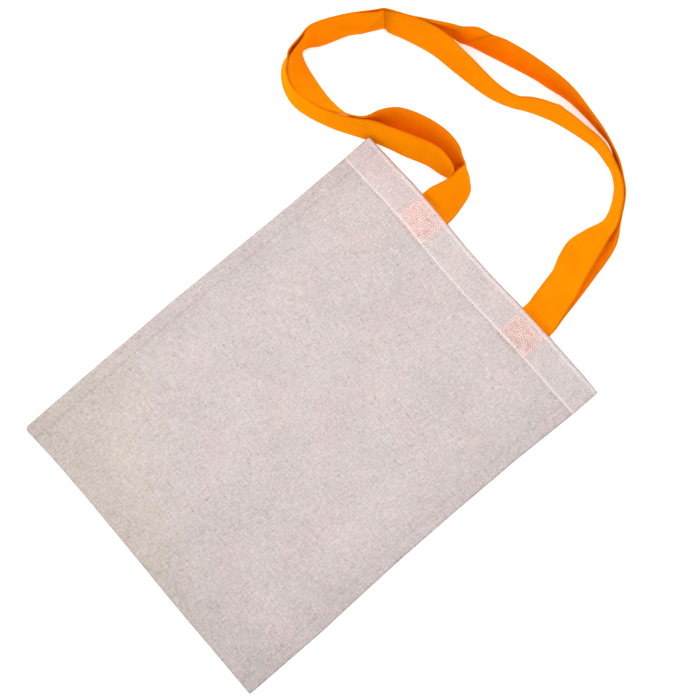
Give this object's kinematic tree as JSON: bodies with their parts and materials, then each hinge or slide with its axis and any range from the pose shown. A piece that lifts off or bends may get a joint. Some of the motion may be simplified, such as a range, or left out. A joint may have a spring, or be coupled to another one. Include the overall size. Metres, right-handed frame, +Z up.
{
  "type": "tote bag",
  "caption": "Flat rectangular cotton tote bag, open at a hemmed mouth, with long flat shoulder straps that lie curled above it.",
  "frame": {"origin": "middle of the back panel's underside, on the surface that the bag lies on", "axes": "+X along the mouth to the right, +Y from the folded bottom to the mouth, +Z up out of the front panel"},
  "size_m": [0.4057, 0.5589, 0.0379],
  "materials": {
    "ecru_cotton": "undyed plain-weave cotton with darker flecks",
    "orange_cotton": "dyed cotton strap, matt"
  },
  "bodies": {
    "root": {"bag_body": "ecru_cotton", "front_strap": "orange_cotton", "back_strap": "orange_cotton"}
  },
  "joints": []
}
